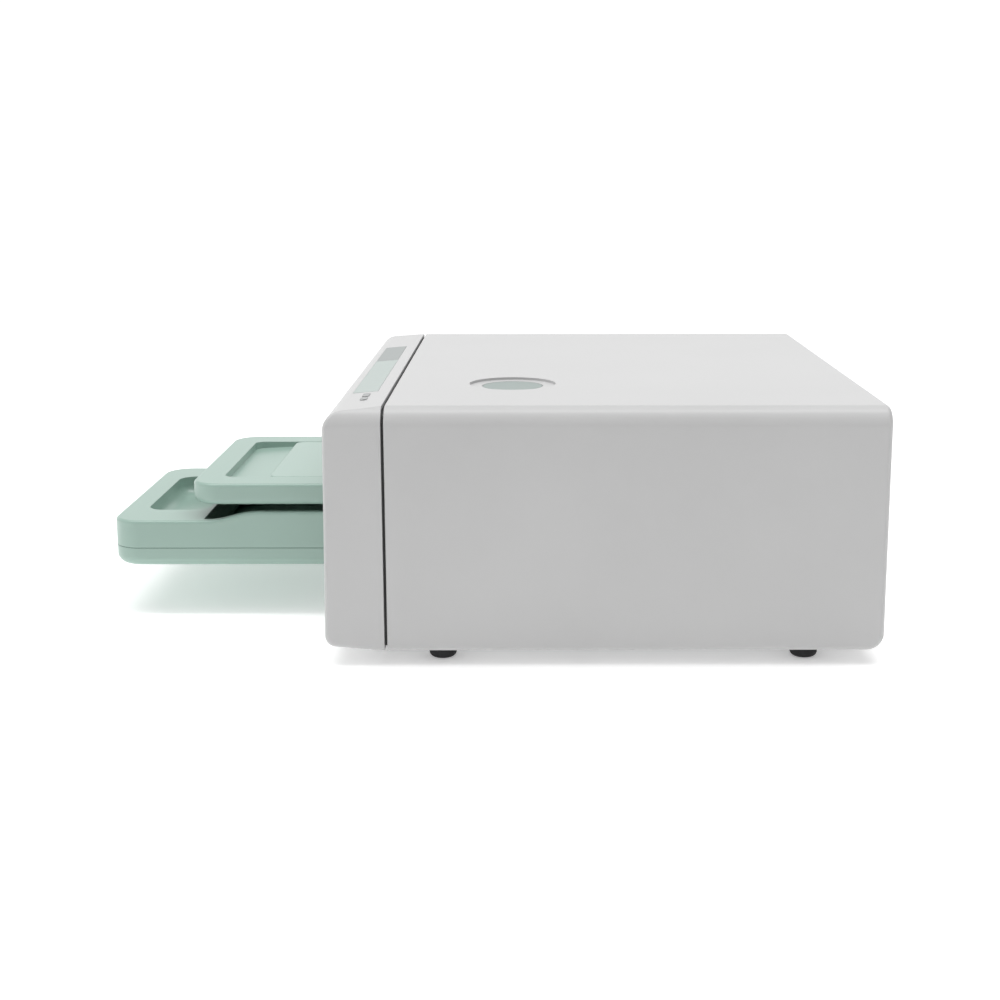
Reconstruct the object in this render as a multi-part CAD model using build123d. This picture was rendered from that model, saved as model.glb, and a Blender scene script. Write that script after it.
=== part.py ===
"""Desktop flatbed UV printer: a wide low housing with a front panel, two trays that slide out of it,
and the bed drive, printing gantry, ink, cleaning and power pieces inside.

Frame: +X right as seen from the front, +Y to the back, +Z up. The origin is on the table,
under the middle of the whole machine with both trays out. Millimetres.
"""

from build123d import *
import math
import os

# ---- casing -------------------------------------------------------------------------------------
body_width = 463.0
body_height = 176.0  # casing only, without the feet
body_depth = 356.0  # main housing, from the seam to the back
panel_depth = 43.5  # front panel, from its face to the seam
face_setback = 1.8  # how far the top of the face stands back from its foot
wall = 3.0
seam_gap = 2.0  # shadow gap between the front panel and the housing
shoulder_radius = 14.0  # long rounded edges between top and sides
heel_radius = 12.0  # rear bottom edge
edge_radius = 4.0  # rear upright edges and bottom edges
seam_edge_radius = 1.0
panel_taper = 5.0  # degrees that the panel's top and bottom lean in towards its face
panel_chin_radius = 8.0
foot_height = 10.0
foot_radius = 10.0
foot_inset = 22.5  # from the side of the casing to a foot's centre
front_foot_y = 39.5  # from the seam to the front feet
rear_foot_y = 54.0  # from the back to the rear feet
lip = 36.0  # width of the housing's bottom lip, which carries the feet
pan_thickness = 2.0

# ---- trays --------------------------------------------------------------------------------------
tray_width = 210.0
tray_length = 300.0
tray_corner_radius = 22.0
slot_clearance = 1.5
drawer_reach = 183.5  # how far the drawer stands out of the face at rest
drawer_lift = 29.0  # drawer's underside above the casing's
tub_height = 15.0
drawer_front_height = 37.0
drawer_height = 44.0
drawer_wall = 6.0
drawer_floor = 3.0
ramp_start = 75.0  # from the drawer's front to the foot of the ramp on its rim
ramp_length = 41.0
drawer_rim = 19.5  # front rim, from the drawer's front to its pocket
drawer_pocket_width = 132.0
drawer_pocket_length = 50.0
drawer_pocket_depth = 15.0
drawer_travel = 182.0
platen_reach = 120.5
platen_gap = 5.5  # between the drawer's rim and the platen tray
platen_thickness = 17.0
platen_rim = 22.0
platen_wall = 10.0
platen_recess_width = 154.0
platen_recess_depth = 6.0
platen_pocket_length = 35.0
platen_out_travel = 60.0
platen_in_travel = 150.0
object_height = 15.0  # room over the platen for the thing that is printed
rim_radius = 2.5  # upper edges of both trays
drawer_keel_radius = 8.0  # lower edge of the drawer
platen_keel_radius = 5.0

# ---- control panel and button ---------------------------------------------------------------------
strip_left_x = -130.0
strip_right_x = 146.0
strip_width = 19.0
strip_setback = 10.5  # from the seam to the strip's rear edge
display_length = 96.0
strip_thickness = 1.6
button_x = 113.0
button_y = 89.5  # from the seam to the button's centre
button_radius = 23.0
dish_radius = 33.0
dish_depth = 1.8
button_travel = 1.5
button_room = 11.0  # depth under the roof that the button's pieces may use

# ---- chassis and drives ---------------------------------------------------------------------------
running = 0.3  # gap between pieces that slide past each other
frame_gap = 14.0  # between a tray's side and its side frame
sheet = 2.0
flange_width = 12.0
shoe_height = 8.4
shoe_length = 24.0
shoe_spacing = 60.0
pulley_radius = 6.0
x_pulley_radius = 7.0
belt_thickness = 1.0
belt_width = 6.0
motor_side = 42.0
motor_length = 34.0
small_motor_side = 28.0
x_motor_side = 34.0
screw_radius = 4.0
rod_radius = 4.0
bore_gap = 0.08  # radial gap of a bush on its rod
lift_travel = 12.0
nozzle_gap = 2.0
carriage_width = 84.0
carriage_length = 56.0
print_travel = 270.0
beam_depth = 30.0
cap_travel = 6.0

# ---- places worked out from the sizes ------------------------------------------------------------
base_z = foot_height
roof_z = base_z + body_height
side_x = body_width / 2
back_y = (body_depth + panel_depth + drawer_reach) / 2
seam_y = back_y - body_depth
face_y = seam_y - panel_depth
inner_x = side_x - wall
ceiling_z = roof_z - wall
pan_z = base_z + wall
floor_z = pan_z + pan_thickness
rear_wall_y = back_y - wall

tray_x = tray_width / 2
drawer_y = (face_y - drawer_reach, face_y - drawer_reach + tray_length)
drawer_z = base_z + drawer_lift
parting_z = drawer_z + tub_height
front_rim_z = drawer_z + drawer_front_height
rim_z = drawer_z + drawer_height
platen_y = (face_y - platen_reach, face_y - platen_reach + tray_length)
platen_z = rim_z + platen_gap
bed_z = platen_z + platen_thickness
slot_top_z = bed_z + object_height

frame_x = tray_x + frame_gap
frame_y = (seam_y - 34, seam_y + 306)
frame_top_z = bed_z - 2
bay_x = frame_x + sheet  # where the side bays begin
park_x = bay_x + 39  # print carriage at rest, over the cap

guide_z = platen_z + 5
belt_z = platen_z - pulley_radius - 6
drive_y = frame_y[1] - 20
idler_y = frame_y[0] + 14
belt_x = (tray_x + 2.5, tray_x + 2.5 + belt_width)

nozzle_z = bed_z + nozzle_gap
head_y = seam_y + 59
carriage_y = (head_y - 33, head_y + carriage_length - 33)
carriage_z = (nozzle_z + 2.5, ceiling_z - button_room - lift_travel)
beam_y = (carriage_y[1] + 14, carriage_y[1] + 14 + beam_depth)
beam_z = (nozzle_z + 7, carriage_z[1] - 2)
rail_z = (beam_z[0] + 7, beam_z[0] + 19)
x_belt_z = rail_z[1] + 6 + x_pulley_radius
x_belt_y = (beam_y[0] - 8, beam_y[0] - 8 + belt_width)
post_x = side_x - wall - 3
lift_x = post_x - sheet - small_motor_side / 2
beam_end_x = lift_x - 12
rod_y = beam_y[0] + 11
screw_y = rod_y + 30
x_pulley_x = beam_end_x - 20


# ---- small makers -----------------------------------------------------------------------------------
def block(x, y, z):
    """A box from (low, high) pairs along the three axes."""
    middle = Pos((x[0] + x[1]) / 2, (y[0] + y[1]) / 2, (z[0] + z[1]) / 2)
    return middle * Box(x[1] - x[0], y[1] - y[0], z[1] - z[0])


def bar_x(radius, x, y, z):
    """A round bar along X; x is a (low, high) pair."""
    return Pos((x[0] + x[1]) / 2, y, z) * Rot(0, 90, 0) * Cylinder(radius, x[1] - x[0])


def bar_y(radius, x, y, z):
    """A round bar along Y; y is a (low, high) pair."""
    return Pos(x, (y[0] + y[1]) / 2, z) * Rot(90, 0, 0) * Cylinder(radius, y[1] - y[0])


def bar_z(radius, x, y, z):
    """A round bar along Z; z is a (low, high) pair."""
    return Pos(x, y, (z[0] + z[1]) / 2) * Cylinder(radius, z[1] - z[0])


def group(*pieces):
    """Separate solids kept together as one node."""
    return Compound(children=[solid for piece in pieces for solid in piece.solids()])


def both_sides(piece):
    """The piece and its mirror image across the middle of the machine."""
    return group(piece, mirror(piece, Plane.YZ))


def rounded_block(x, y, z, radius, axis=Axis.Z):
    """A box whose four edges along one axis are rounded."""
    made = block(x, y, z)
    return fillet(made.edges().filter_by(axis), radius)


def lying_at(edges, axis, place):
    """The edges that lie wholly at one place along an axis: 0 is X, 1 is Y and 2 is Z."""
    found = ShapeList()
    for edge in edges:
        box = edge.bounding_box()
        if abs(tuple(box.min)[axis] - place) < 1e-3 and abs(tuple(box.max)[axis] - place) < 1e-3:
            found.append(edge)
    return found


# ---- casing -----------------------------------------------------------------------------------------
def casing_form(inset, front_y):
    """The housing's outer form, or the same form moved in by a wall for its hollow."""
    half = side_x - inset
    low, high = base_z + inset, roof_z - inset
    rear = back_y - inset
    shoulder = shoulder_radius - inset
    form = block((-half, half), (front_y, rear), (low, high))
    form = fillet(lying_at(lying_at(form.edges(), 1, rear), 2, low), heel_radius - inset)
    form = fillet([e for e in lying_at(form.edges(), 2, high) if abs(e.tangent_at(0.5).Y) > 0.9], shoulder)
    outline = [
        e
        for e in form.edges()
        if abs(abs(e.center().X) - half) < 1e-3
        and e.bounding_box().max.Y > front_y + 1
        and e.center().Z < high - shoulder - 1e-3
    ]
    crest = [
        e for e in form.edges() if e.bounding_box().min.Y > rear - 1e-3 and e.center().Z > high - shoulder
    ]
    return fillet(outline + crest, max(edge_radius - inset, 0.8))


def panel_form(inset, rear_y):
    """The front panel's outer form, or the same form moved in by a wall for its hollow."""
    half = side_x - inset
    front = face_y + inset
    lean = math.tan(math.radians(panel_taper))
    outline = Polyline(
        (0, rear_y, roof_z - inset - lean * (seam_y - rear_y)),
        (0, front + face_setback, roof_z - inset - lean * (seam_y - front)),
        (0, front, base_z + inset + lean * (seam_y - front)),
        (0, rear_y, base_z + inset + lean * (seam_y - rear_y)),
        close=True,
    )
    form = Pos(-half, 0, 0) * extrude(make_face(outline), amount=2 * half, dir=(1, 0, 0))
    chin = lying_at(form.edges(), 1, front).filter_by(Axis.X)
    form = fillet(chin, panel_chin_radius - inset)
    brow = lying_at(form.edges(), 1, front + face_setback).filter_by(Axis.X)
    form = fillet(brow, shoulder_radius - inset)
    section = block((-half, half), (front - 5, rear_y + 5), (base_z - 5, roof_z - inset))
    upper = [e for e in section.edges().filter_by(Axis.Y) if e.center().Z > roof_z - inset - 1]
    return form & fillet(upper, shoulder_radius - inset)


seam = seam_gap / 2
outer = casing_form(0, seam_y + seam)
outer = fillet(lying_at(outer.edges(), 1, seam_y + seam), seam_edge_radius)
housing = outer - casing_form(wall, seam_y - 5)
housing -= block((-side_x + lip, side_x - lip), (seam_y - 5, back_y - lip), (base_z - 1, floor_z))

outer = panel_form(0, seam_y - seam)
upright = [
    e
    for e in outer.edges()
    if abs(abs(e.center().X) - side_x) < 1e-3
    and e.center().Z < roof_z - 30
    and e.bounding_box().min.Y < seam_y - 3
]
front_panel = fillet(upright, edge_radius - 1) - panel_form(wall, seam_y + 5)
slot_x = tray_x + slot_clearance
front_panel -= block((-slot_x, slot_x), (face_y - 1, seam_y), (drawer_z - slot_clearance, slot_top_z))

# a ring inside the seam joins the two shells and closes the gap between them
inner_box = casing_form(wall, seam_y - 7)
ring = inner_box & block((-side_x, side_x), (seam_y - 6, seam_y + 12), (base_z + wall + 1, ceiling_z - 1))
ring += inner_box & block((-side_x, side_x), (seam_y + 2, seam_y + 12), (base_z, roof_z))
seam_ring = ring - casing_form(wall + 3.5, seam_y - 20)

base_pan = block((-inner_x + 2, inner_x - 2), (seam_y + 13, back_y - heel_radius - 1), (pan_z, floor_z))

# the rear panel's openings
inlet = (186.0, 42.0)  # middle of the power inlet, X and Z
inlet_size = (28.0, 20.0)
switch = (150.0, 42.0)
switch_size = (21.0, 15.0)
sockets_x = (64.0, 96.0)  # left edges of the USB socket and the network socket
sockets_size = ((12.0, 11.0), (16.0, 13.5))
shelf_z = slot_top_z + 7
board_z = shelf_z + 8
fan_at = (-bay_x - 44, slot_top_z + 21.5)
fan_radius = 27.0
rear = (rear_wall_y - 1, back_y + 1)


def rear_hole(at, size, gap=0.2):
    """A straight opening through the rear panel."""
    x = (at[0] - size[0] / 2 - gap, at[0] + size[0] / 2 + gap)
    return block(x, rear, (at[1] - size[1] / 2 - gap, at[1] + size[1] / 2 + gap))


housing -= rear_hole(inlet, inlet_size)
housing -= rear_hole(switch, switch_size)
for left, (width, height) in zip(sockets_x, sockets_size):
    housing -= rear_hole((left + width / 2, board_z + 1.6 + height / 2), (width, height))
for row in range(-4, 5):
    chord = math.sqrt(fan_radius**2 - (row * 6) ** 2)
    housing -= block(
        (fan_at[0] - chord, fan_at[0] + chord), rear, (fan_at[1] + row * 6 - 1.5, fan_at[1] + row * 6 + 1.5)
    )
for row in range(6):
    housing -= block((-40, 40), rear, (60 + row * 7, 63 + row * 7))

# the ink door in the left side
door_y = (seam_y + 182, seam_y + 334)
door_z = (62.0, 150.0)
door_gap = 0.6
pin_x = -side_x + 1.4
pin_z = door_z[0] + 2.2
skin = (-side_x - 0.01, -side_x + wall)
housing -= block((-side_x - 1, -inner_x + 1), door_y, (door_z[0] - 0.9, door_z[1]))
door_pins = bar_y(0.9, pin_x, (door_y[0] - 2.5, door_y[1] + 2.5), pin_z)
housing -= bar_y(0.9 + bore_gap, pin_x, (door_y[0] - 3, door_y[1] + 3), pin_z)
ink_door = block(
    (-side_x + 0.1, -inner_x),
    (door_y[0] + door_gap, door_y[1] - door_gap),
    (door_z[0], door_z[1] - door_gap)
)
ink_door -= bar_y(
    9, -side_x - 6, ((door_y[0] + door_y[1]) / 2 - 18, (door_y[0] + door_y[1]) / 2 + 18), door_z[1] - 4
)
ink_door += door_pins

# feet and the screws that hold the pan on the housing's lip
foot_x = side_x - foot_inset
foot = bar_z(foot_radius, foot_x, 0, (0, foot_height))
foot = fillet(foot.edges().sort_by(Axis.Z)[0], 4)
front_foot = Pos(0, seam_y + front_foot_y, 0) * foot
rear_foot = Pos(0, back_y - rear_foot_y, 0) * foot
feet = both_sides(group(front_foot, rear_foot))


def screws(places, z, length, head=2.8, shank=1.5):
    """Round-headed screws pointing up from z, or down where the length is negative."""
    sign = 1 if length > 0 else -1
    made = []
    for x, y in places:
        made.append(
            bar_z(head, x, y, sorted((z - sign * 1.8, z))) + bar_z(shank, x, y, sorted((z, z + length)))
        )
    return group(*made)


pan_places = [(x * (side_x - 12), seam_y + y) for x in (-1, 1) for y in (26, 140, 250)]
pan_screws = screws(pan_places, base_z, wall + pan_thickness)
housing -= pan_screws
base_pan -= pan_screws

# ---- control strip and power button -----------------------------------------------------------------
slope = Pos(0, seam_y, roof_z) * Rot(panel_taper, 0, 0)
strip_y = (-strip_setback - strip_width, -strip_setback)
display_x = (strip_left_x, strip_left_x + display_length)
touch_x = (display_x[1], strip_right_x)
fine = 0.15
front_panel -= slope * block((strip_left_x, strip_right_x), strip_y, (-strip_thickness, 2))
front_panel -= slope * block(
    (display_x[0] + 6, display_x[1] - 6), (strip_y[0] + 4, strip_y[1] - 3), (-5, 2)
)
pane = block(
    (display_x[0] + fine, display_x[1] - fine),
    (strip_y[0] + fine, strip_y[1] - fine),
    (-strip_thickness, 0)
)
display_window = slope * pane
pane = block(
    (touch_x[0] + fine, touch_x[1] - fine), (strip_y[0] + fine, strip_y[1] - fine), (-strip_thickness, 0)
)
touch_strip = slope * pane
mark_long = rounded_block((155, 170), (-20, -15), (0, 0.5), 2.4)
mark_short = rounded_block((175, 186), (-20, -15), (0, 0.5), 2.4)
panel_marks = slope * group(mark_long, mark_short)
display_module = slope * block(
    (display_x[0] + 3, display_x[1] - 3), (strip_y[0] + 7, strip_y[1]), (-8, -wall - 0.15)
)
board = block((display_x[0] + 1, strip_right_x - 6), (strip_y[0] + 9, strip_y[1] + 6), (-9.6, -8))
for x in (-20, 50, 120):
    board += bar_z(2.5, x, strip_y[1] - 2, (-8, -wall - 0.15))
control_board = slope * board

button_at = (button_x, seam_y + button_y)
dish_z = roof_z - dish_depth
boss_z = dish_z - 3.2
housing += bar_z(dish_radius + 2, *button_at, (boss_z, ceiling_z))
housing -= bar_z(dish_radius, *button_at, (dish_z, roof_z + 1))
housing -= bar_z(button_radius + running, *button_at, (boss_z - 1, roof_z + 1))
power_button = bar_z(button_radius, *button_at, (boss_z - running - 2.4, dish_z))
power_button = fillet(power_button.edges().sort_by(Axis.Z)[-1], 0.6)
power_button += bar_z(button_radius + 3, *button_at, (boss_z - running - 2.4, boss_z - running))
cup_z = roof_z - wall - button_room + 0.5
button_bracket = bar_z(dish_radius - 1, *button_at, (cup_z, boss_z)) - bar_z(
    dish_radius - 3.5, *button_at, (cup_z + 2, boss_z)
)
button_spring = bar_z(16, *button_at, (cup_z + 2, cup_z + 3.6)) - bar_z(
    11, *button_at, (cup_z + 2, cup_z + 3.6)
)
switch_x = (button_at[0] - 3, button_at[0] + 3)
button_switch = block(switch_x, (button_at[1] - 3, button_at[1] + 3), (cup_z + 2, cup_z + 4))
button_switch += bar_z(1.6, *button_at, (cup_z + 4, cup_z + 4.2))

# ---- chassis ----------------------------------------------------------------------------------------
side_frame = block((frame_x, bay_x), frame_y, (floor_z, frame_top_z))
side_frame -= block((frame_x - 1, bay_x + 1), (frame_y[0] - 1, seam_y + 14), (floor_z - 1, drawer_z - 12))
side_frame += block(
    (frame_x - flange_width, frame_x), (seam_y + 14, frame_y[1]), (floor_z, floor_z + sheet)
)
side_frames = both_sides(side_frame)
frame_places = [(x * (frame_x - flange_width / 2), seam_y + y) for x in (-1, 1) for y in (24, 150, 290)]
frame_screws = screws(frame_places, floor_z + sheet, -sheet - pan_thickness)
side_frames -= frame_screws
base_pan -= frame_screws
rear_plate = block((-frame_x, frame_x), (frame_y[1] - sheet, frame_y[1]), (floor_z + sheet, frame_top_z))
rear_plate -= block((-60, 60), (frame_y[1] - 5, frame_y[1] + 1), (50, 80))

runner = block(
    (tray_x - 13, frame_x), (frame_y[0], seam_y + 252), (drawer_z - running - 3.2, drawer_z - running)
)
runner += block(
    (tray_x + 0.5, tray_x + 3.5), (frame_y[0], seam_y + 252), (drawer_z - running, drawer_z + 11)
)
drawer_runners = both_sides(runner)

# ---- drawer -----------------------------------------------------------------------------------------
def tray_plan(x, y, z, front_radius, rear_radius):
    """A block with rounded upright corners, wider ones at the front."""
    made = block((-x, x), y, z)
    upright = made.edges().filter_by(Axis.Z)
    made = fillet([e for e in upright if e.center().Y < y[0] + 1], front_radius)
    upright = made.edges().filter_by(Axis.Z)
    return fillet([e for e in upright if e.center().Y > y[1] - 1], rear_radius)


inside_x = tray_x - drawer_wall
pocket_y = (drawer_y[0] + drawer_rim, drawer_y[0] + drawer_rim + drawer_pocket_length)
bin_y = (pocket_y[1] + drawer_floor, drawer_y[1] - drawer_wall)
inside_y = (drawer_y[0] + drawer_wall, drawer_y[1] - drawer_wall)
tub = tray_plan(tray_x, drawer_y, (drawer_z, parting_z), tray_corner_radius, 6)
tub = fillet(lying_at(tub.edges(), 2, drawer_z), drawer_keel_radius)
drawer_tub = tub - tray_plan(
    inside_x, inside_y, (drawer_z + drawer_floor, parting_z + 1), tray_corner_radius - drawer_wall, 2
)


pocket_x = drawer_pocket_width / 2
bowl_z = front_rim_z - drawer_pocket_depth
top = tray_plan(tray_x, drawer_y, (parting_z, rim_z), tray_corner_radius, 6)
ramp_y = (drawer_y[0] + ramp_start, drawer_y[0] + ramp_start + ramp_length)
ramp = Spline(
    (0, ramp_y[0], front_rim_z), (0, ramp_y[1], rim_z), tangents=((0, 1, 0), (0, 1, 0))
)
over = Polyline(
    (0, ramp_y[1], rim_z),
    (0, ramp_y[1], rim_z + 9),
    (0, drawer_y[0] - 5, rim_z + 9),
    (0, drawer_y[0] - 5, front_rim_z),
    (0, ramp_y[0], front_rim_z),
)
cutter = Pos(-tray_x - 5, 0, 0) * extrude(
    make_face([ramp, *over.edges()]), amount=tray_width + 10, dir=(1, 0, 0)
)
top -= cutter
rim = [e for e in top.edges() if e.center().Z > front_rim_z - 1e-3]
top = fillet(rim, rim_radius)
under = block((-inside_x, inside_x), (inside_y[0] + 4, pocket_y[1]), (parting_z - 1, front_rim_z - 3))
under -= block((-pocket_x - 3, pocket_x + 3), (pocket_y[0] - 3, pocket_y[1] + 3), (bowl_z - 3, front_rim_z))
top -= under
top -= rounded_block((-inside_x, inside_x), bin_y, (parting_z - 1, rim_z + 1), 3)
bowl = rounded_block((-pocket_x, pocket_x), pocket_y, (bowl_z, front_rim_z + 5), 14)
bowl = fillet(lying_at(bowl.edges(), 2, bowl_z), 8)
drawer_top = top - bowl

# ---- platen -----------------------------------------------------------------------------------------
recess_x = platen_recess_width / 2
grip_y = (platen_y[0] + platen_rim, platen_y[0] + platen_rim + platen_pocket_length)
plate_y = (grip_y[1], platen_y[1] - 8)
recess_z = bed_z - platen_recess_depth
tray = tray_plan(tray_x, platen_y, (platen_z, bed_z), tray_corner_radius, 6)
tray = fillet(lying_at(tray.edges(), 2, bed_z), rim_radius)
tray = fillet(lying_at(tray.edges(), 2, platen_z), platen_keel_radius)
hollow_x = tray_x - platen_wall
hollow_y = (platen_y[0] + platen_wall, platen_y[1] - platen_wall)
tray -= tray_plan(hollow_x, hollow_y, (platen_z - 1, recess_z - 3), tray_corner_radius - platen_wall, 3)
tray -= rounded_block((-recess_x, recess_x), (grip_y[0], plate_y[1]), (recess_z, bed_z + 1), 8)
heel = Polyline(
    (0, grip_y[0], recess_z),
    (0, grip_y[1], recess_z),
    (0, grip_y[1], recess_z + 1.5),
    (0, grip_y[0], recess_z),
    close=True,
)
wedge = extrude(make_face(heel), amount=2 * recess_x, dir=(1, 0, 0))
tray += Pos(-recess_x, 0, 0) * wedge
platen_tray = tray
plate = rounded_block(
    (-recess_x + fine, recess_x - fine), (plate_y[0] + fine, plate_y[1] - fine), (recess_z, bed_z), 8
)
front_top = lying_at(lying_at(plate.edges(), 2, bed_z), 1, plate_y[0] + fine)
plate = chamfer(front_top, 1.5)
plate_places = [(x * (recess_x - 9), y) for x in (-1, 1) for y in (sum(plate_y) / 2, plate_y[1] - 10)]
plate_screws = group(*[bar_z(3, x, y, (bed_z - 2.4, bed_z - 0.3)) for x, y in plate_places])
for x, y in plate_places:
    plate -= bar_z(3, x, y, (bed_z - 2.4, bed_z + 1))
platen_plate = plate

shoe_x = (tray_x, frame_x - 2.5)
shoe_z = (guide_z - shoe_height / 2, guide_z + shoe_height / 2)
shoe_ys = [
    (platen_y[1] - k * shoe_spacing - shoe_length - 6, platen_y[1] - k * shoe_spacing - 6) for k in (0, 1)
]
platen_shoes = both_sides(group(*[block(shoe_x, y, shoe_z) for y in shoe_ys]))
groove = block(
    (frame_x - 10, frame_x - 1.8), (frame_y[0] - 1, frame_y[1]), (shoe_z[0] - running, shoe_z[1] + running)
)
rail = block((frame_x - 8, frame_x), (frame_y[0], frame_y[1] - 8), (guide_z - 9, guide_z + 9))
platen_rails = both_sides(rail - groove)
clamp_y = (platen_y[1] - 40, platen_y[1] - 16)
clamp_z = (belt_z + pulley_radius + belt_thickness + 0.4, platen_z)
belt_clamp = block((tray_x - 9, frame_x - 8.4), clamp_y, clamp_z)


def belt_loop(length, radius, width):
    """A toothed belt round two equal pulleys, lying in XY with its middle at the origin."""
    inner = SlotCenterToCenter(length, 2 * (radius + bore_gap))
    outer_line = SlotCenterToCenter(length, 2 * (radius + bore_gap + belt_thickness))
    return extrude(outer_line - inner, amount=width)


along_y = Plane(origin=(belt_x[0], (drive_y + idler_y) / 2, belt_z), x_dir=(0, 1, 0), z_dir=(1, 0, 0))
y_belt = along_y * belt_loop(drive_y - idler_y, pulley_radius, belt_width)
flange_x = (belt_x[0] - 0.3 - 1, belt_x[1] + 0.3 + 1)
pulley = bar_x(pulley_radius, flange_x, 0, belt_z)
for x in ((flange_x[0], flange_x[0] + 1), (flange_x[1] - 1, flange_x[1])):
    pulley += bar_x(pulley_radius + 1.6, x, 0, belt_z)
y_drive_pulley = Pos(0, drive_y, 0) * (pulley + bar_x(2.5, (flange_x[1], bay_x + 10), 0, belt_z))
y_idler_pulley = Pos(0, idler_y, 0) * (pulley + bar_x(2, (flange_x[1], bay_x - 0.2), 0, belt_z))
side_frames -= bar_x(4, (frame_x - 1, bay_x + 1), drive_y, belt_z)
side_frames -= bar_x(2 + bore_gap, (frame_x - 1, bay_x + 1), idler_y, belt_z)


def motor(side, length, bore):
    """A square stepper motor with its shaft hole up along Z and its mounting face at the origin."""
    core = Pos(0, 0, -length / 2) * Box(side - 1, side - 1, length)
    for z in (-4.5, -length + 4.5):
        core += Pos(0, 0, z) * chamfer(Box(side, side, 9).edges().filter_by(Axis.Z), side / 9)
    return core - Pos(0, 0, -6) * Cylinder(bore, 13)


y_motor = Plane(origin=(bay_x, drive_y, belt_z), z_dir=(-1, 0, 0)) * motor(
    motor_side, motor_length, 2.5 + bore_gap
)

# ---- gantry -----------------------------------------------------------------------------------------
post_y = (rod_y - 15, screw_y + 17)
post_top = ceiling_z - 7
post = block((post_x - sheet, post_x), post_y, (floor_z, post_top))
post += block((lift_x - 14, post_x), post_y, (floor_z, floor_z + sheet))
post += block((lift_x - 12, post_x), post_y, (post_top - sheet, post_top))
post -= bar_z(2.5 + bore_gap, lift_x, screw_y, (post_top - 5, post_top + 1))
lift_posts = both_sides(post)
guide_rods = both_sides(bar_z(rod_radius, lift_x, rod_y, (floor_z + sheet, post_top - sheet)))
z_motor_top = floor_z + sheet + 30
z_motor = Pos(lift_x, screw_y, z_motor_top) * motor(small_motor_side - 1, 30, 2.5 + bore_gap)
z_motors = both_sides(z_motor)
screw = bar_z(screw_radius, lift_x, screw_y, (z_motor_top + 1, post_top - sheet - 0.3))
screw += bar_z(2.5, lift_x, screw_y, (z_motor_top - 10, post_top))
z_screw_right = screw
z_screw_left = mirror(screw, Plane.YZ)
post_foot_places = [(x * (lift_x - 8), rod_y - 8) for x in (-1, 1)]

end_block = block((beam_end_x, post_x - sheet - 0.6), (beam_y[0], screw_y + 11), beam_z)
end_block -= bar_z(rod_radius + bore_gap, lift_x, rod_y, (0, 300))
end_block -= bar_z(screw_radius + bore_gap, lift_x, screw_y, (0, 300))
gantry_ends = both_sides(end_block)
beam = block((-beam_end_x, beam_end_x), beam_y, beam_z)
beam -= block(
    (-beam_end_x - 1, beam_end_x + 1), (beam_y[0] + 3, beam_y[1] - 3), (beam_z[0] + 3, beam_z[1] - 3)
)
beam -= block(
    (-beam_end_x - 1, beam_end_x + 1), (beam_y[1] - 1.5, beam_y[1] + 1), (beam_z[0] + 12, beam_z[0] + 18)
)
beam -= bar_y(4, -x_pulley_x, (beam_y[0] - 1, beam_y[1] + 1), x_belt_z)
beam -= bar_y(2.5 + bore_gap, x_pulley_x, (beam_y[0] - 1, beam_y[0] + 3.5), x_belt_z)
gantry_beam = beam
x_rail = block((-beam_end_x + 8, beam_end_x - 8), (beam_y[0] - 8, beam_y[0]), rail_z)
along_x = Plane(origin=(0, x_belt_y[1], x_belt_z), x_dir=(1, 0, 0), z_dir=(0, -1, 0))
x_belt = along_x * belt_loop(2 * x_pulley_x, x_pulley_radius, belt_width)
flange_y = (x_belt_y[0] - 1.3, x_belt_y[1] + 1.3)
pulley = bar_y(x_pulley_radius, 0, flange_y, x_belt_z)
for y in ((flange_y[0], flange_y[0] + 1), (flange_y[1] - 1, flange_y[1])):
    pulley += bar_y(x_pulley_radius + 1.6, 0, y, x_belt_z)
x_drive_pulley = Pos(-x_pulley_x, 0, 0) * (pulley + bar_y(2.5, 0, (flange_y[1], beam_y[1] + 10), x_belt_z))
x_idler_pulley = Pos(x_pulley_x, 0, 0) * (pulley + bar_y(2.5, 0, (flange_y[1], beam_y[0] + 2.8), x_belt_z))
turned = Plane(origin=(-x_pulley_x, beam_y[1], x_belt_z), x_dir=(1, 0, 0), z_dir=(0, -1, 0))
x_motor = turned * motor(x_motor_side, 34, 2.5 + bore_gap)

# ---- print carriage ---------------------------------------------------------------------------------
half_carriage = carriage_width / 2
cx = (park_x - half_carriage, park_x + half_carriage)
head_x = (park_x - 28, park_x + 28)
head_span = (head_y - 24, head_y + 16)
back_plate_y = (carriage_y[1] - 3, carriage_y[1])
plate = block(cx, carriage_y, (carriage_z[0], carriage_z[0] + 3))
plate -= block(head_x, head_span, (carriage_z[0] - 1, carriage_z[0] + 4))
plate += block(cx, back_plate_y, (carriage_z[0], carriage_z[1] - 4))
carriage_frame = plate
cover = rounded_block(cx, (carriage_y[0], back_plate_y[0]), (carriage_z[0] + 3, carriage_z[1]), 3)
cover -= block(
    (cx[0] + 2, cx[1] - 2), (carriage_y[0] + 2, back_plate_y[0] + 1), (carriage_z[0] + 2, carriage_z[1] - 2)
)
carriage_cover = cover
slider = block((park_x - 22, park_x + 22), (carriage_y[1], beam_y[0] - 1), (rail_z[0] - 4, rail_z[1] + 4))
slider -= block(
    (park_x - 23, park_x + 23), (beam_y[0] - 8.1, beam_y[0]), (rail_z[0] - 0.1, rail_z[1] + 0.1)
)
rail_slider = slider
grip_z = x_belt_z - x_pulley_radius + 0.4
carriage_clamp = block((park_x - 8, park_x + 8), (carriage_y[1], x_belt_y[1]), (grip_z, grip_z + 4))
print_head = block(head_x, head_span, (nozzle_z, nozzle_z + 22))
print_head += block(
    (head_x[0] + 5, head_x[1] - 5), (head_span[0] + 4, head_span[1] - 4), (nozzle_z + 22, nozzle_z + 27)
)
damper = [head_x[0] + 4 + 8.2 * k for k in range(6)]
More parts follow.
